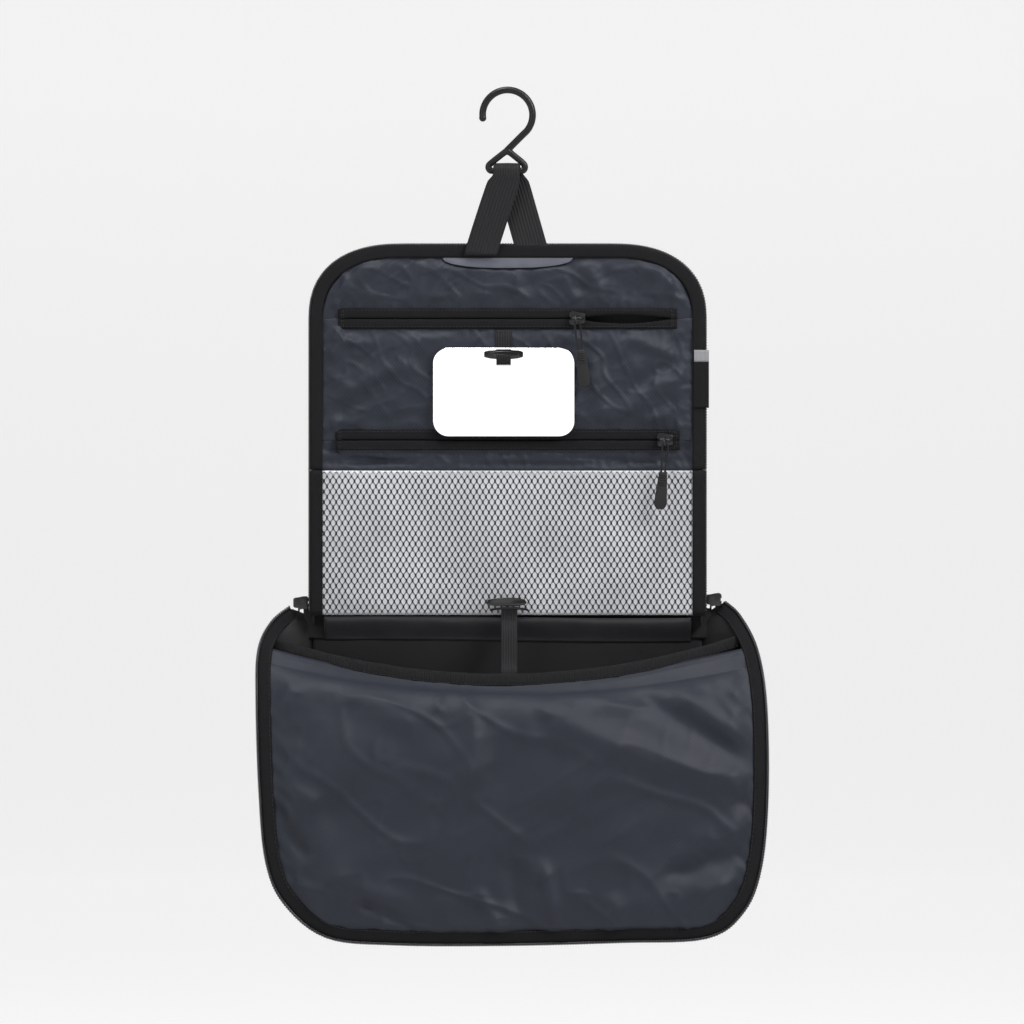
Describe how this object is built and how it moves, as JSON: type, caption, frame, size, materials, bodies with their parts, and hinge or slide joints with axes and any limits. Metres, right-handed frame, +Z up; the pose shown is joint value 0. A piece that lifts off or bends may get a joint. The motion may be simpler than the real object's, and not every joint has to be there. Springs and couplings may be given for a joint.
{
  "type": "hanging toiletry bag",
  "caption": "Fold-out hanging toiletry bag with a hook on a webbing strap, a padded flap with zipped pockets, mirror and mesh pocket, and a zipped pouch.",
  "frame": {"origin": "point inside the top of the hook's arc, where it rests on a rail", "axes": "+Z up; the open bag's front (mirror and pockets) faces -Y; +X to the viewer's right"},
  "size_m": [0.3202, 0.0761, 0.5365],
  "materials": {
    "outer_fabric": "matte woven polyester, slate navy",
    "lining_fabric": "slightly glossy dobby-woven polyester, slate navy",
    "foam": "thin padding foam, hidden",
    "webbing": "black woven webbing and cord",
    "zip_tape": "black woven zip tape",
    "zip_coil": "black nylon coil",
    "slider_metal": "black painted die-cast metal",
    "grip_rubber": "matte black moulded rubber",
    "black_plastic": "satin black moulded plastic",
    "mirror_glass": "plain mirror",
    "grey_facing": "smooth grey fabric",
    "mesh_film": "frosted translucent film",
    "mesh_net": "black knitted net bonded to the film"
  },
  "bodies": {
    "hook": {"hook": "black_plastic"},
    "strap": {"hanging_strap": "webbing"},
    "flap_upper": {"back_fabric_upper": "outer_fabric", "foam_pad_upper": "foam", "pocket_backing_upper": "lining_fabric", "gusset_upper": "outer_fabric", "flap_zip_tape_upper": "zip_tape", "flap_zip_coil_upper": "zip_coil", "lining_top": "lining_fabric", "lining_middle": "lining_fabric", "lining_lower": "lining_fabric", "hook_pocket_facing": "grey_facing", "side_label": "webbing", "zip_1_tape_upper": "zip_tape", "zip_1_tape_lower": "zip_tape", "zip_1_coil_upper": "zip_coil", "zip_1_coil_lower": "zip_coil", "zip_1_coil_closed": "zip_coil", "zip_2_tape_upper": "zip_tape", "zip_2_tape_lower": "zip_tape", "zip_2_coil_closed": "zip_coil"},
    "flap_lower": {"back_fabric_lower": "outer_fabric", "foam_pad_lower": "foam", "pocket_backing_lower": "lining_fabric", "gusset_lower_left": "outer_fabric", "gusset_lower_right": "outer_fabric", "flap_zip_tape_lower_left": "zip_tape", "flap_zip_tape_lower_right": "zip_tape", "flap_zip_coil_lower_left": "zip_coil", "flap_zip_coil_lower_right": "zip_coil", "mesh_pocket_film": "mesh_film", "mesh_pocket_net": "mesh_net", "elastic_loop": "webbing"},
    "pouch": {"pouch_shell": "outer_fabric", "pouch_zip_tape": "zip_tape", "pouch_zip_coil": "zip_coil", "front_panel": "lining_fabric", "mouth_binding": "webbing", "toggle_strap": "webbing", "rim_left_slider": "slider_metal", "rim_right_slider": "slider_metal"},
    "toggle": {"strap_toggle": "black_plastic"},
    "mirror_tab": {"mirror_tab": "webbing", "mirror_toggle": "black_plastic"},
    "mirror": {"mirror": "mirror_glass"},
    "zip_1_slider": {"zip_1_slider": "slider_metal"},
    "zip_1_ring": {"zip_1_ring": "slider_metal"},
    "zip_1_pull": {"zip_1_pull_cord": "webbing", "zip_1_pull_grip": "grip_rubber"},
    "zip_2_slider": {"zip_2_slider": "slider_metal"},
    "zip_2_ring": {"zip_2_ring": "slider_metal"},
    "zip_2_pull": {"zip_2_pull_cord": "webbing", "zip_2_pull_grip": "grip_rubber"},
    "rim_left_ring": {"rim_left_ring": "slider_metal"},
    "rim_left_pull": {"rim_left_pull_cord": "webbing", "rim_left_pull_grip": "grip_rubber"},
    "rim_right_ring": {"rim_right_ring": "slider_metal"},
    "rim_right_pull": {"rim_right_pull_cord": "webbing", "rim_right_pull_grip": "grip_rubber"}
  },
  "joints": [
    {"name": "hook_swing", "type": "hinge", "parent": "hook", "child": "strap", "pos_m": [0, 0, -0.0488], "axis": [1, 0, 0], "range_deg": [-35, 35]},
    {"name": "strap_fold", "type": "hinge", "parent": "strap", "child": "flap_upper", "pos_m": [0, 0, -0.102], "axis": [1, 0, 0], "range_deg": [-120, 0]},
    {"name": "flap_bend", "type": "hinge", "parent": "flap_upper", "child": "flap_lower", "pos_m": [0, 0.0006, -0.2372], "axis": [-1, 0, 0], "range_deg": [0, 55]},
    {"name": "flap_fold", "type": "hinge", "parent": "flap_lower", "child": "pouch", "pos_m": [0, 0.0006, -0.329], "axis": [-1, 0, 0], "range_deg": [0, 125], "deforming": ["toggle_strap"]},
    {"name": "zip_1_slide", "type": "slide", "parent": "flap_upper", "child": "zip_1_slider", "axis": [1, 0, 0], "range_m": [-0.138, 0.053]},
    {"name": "zip_1_ring_lift", "type": "hinge", "parent": "zip_1_slider", "child": "zip_1_ring", "pos_m": [0.0438, -0.0058, -0.14175], "axis": [1, 0, 0], "range_deg": [-140, 0]},
    {"name": "zip_1_pull_swing", "type": "hinge", "parent": "zip_1_ring", "child": "zip_1_pull", "pos_m": [0.0438, -0.00827, -0.14527], "axis": [0, 1, 0], "range_deg": [-35, 35]},
    {"name": "zip_2_slide", "type": "slide", "parent": "flap_upper", "child": "zip_2_slider", "axis": [1, 0, 0], "range_m": [-0.198, 0]},
    {"name": "zip_2_ring_lift", "type": "hinge", "parent": "zip_2_slider", "child": "zip_2_ring", "pos_m": [0.0992, -0.0058, -0.2183], "axis": [-1, 0, 0], "range_deg": [0, 35]},
    {"name": "zip_2_pull_lift", "type": "hinge", "parent": "zip_2_ring", "child": "zip_2_pull", "pos_m": [0.0992, -0.00827, -0.22182], "axis": [1, 0, 0], "range_deg": [-70, 0]},
    {"name": "mirror_tab_lift", "type": "hinge", "parent": "flap_upper", "child": "mirror_tab", "pos_m": [-0.0025, 0.0013, -0.1492], "axis": [1, 0, 0], "range_deg": [-60, 0]},
    {"name": "mirror_tilt", "type": "hinge", "parent": "mirror_tab", "child": "mirror", "pos_m": [-0.0025, -0.0028, -0.165], "axis": [0, 1, 0], "range_deg": [-4, 4]},
    {"name": "strap_toggle_tip", "type": "hinge", "parent": "flap_lower", "child": "toggle", "pos_m": [0, -0.0032, -0.3236], "axis": [1, 0, 0], "range_deg": [0, 20]},
    {"name": "rim_left_ring_lift", "type": "hinge", "parent": "pouch", "child": "rim_left_ring", "pos_m": [-0.1304, 0.0128, -0.321], "axis": [1, 0, 0], "range_deg": [0, 110]},
    {"name": "rim_left_pull_swing", "type": "hinge", "parent": "rim_left_ring", "child": "rim_left_pull", "pos_m": [-0.1304, 0.01527, -0.32452], "axis": [0, 1, 0], "range_deg": [-20, 20]},
    {"name": "rim_right_ring_lift", "type": "hinge", "parent": "pouch", "child": "rim_right_ring", "pos_m": [0.1304, 0.0128, -0.319], "axis": [1, 0, 0], "range_deg": [0, 110]},
    {"name": "rim_right_pull_swing", "type": "hinge", "parent": "rim_right_ring", "child": "rim_right_pull", "pos_m": [0.1304, 0.01527, -0.32252], "axis": [0, 1, 0], "range_deg": [-20, 20]}
  ],
  "couplings": [
    {"joint": "flap_bend", "follows": "flap_fold", "ratio": 0.44},
    {"joint": "zip_2_ring_lift", "follows": "flap_fold", "ratio": 0.28}
  ]
}
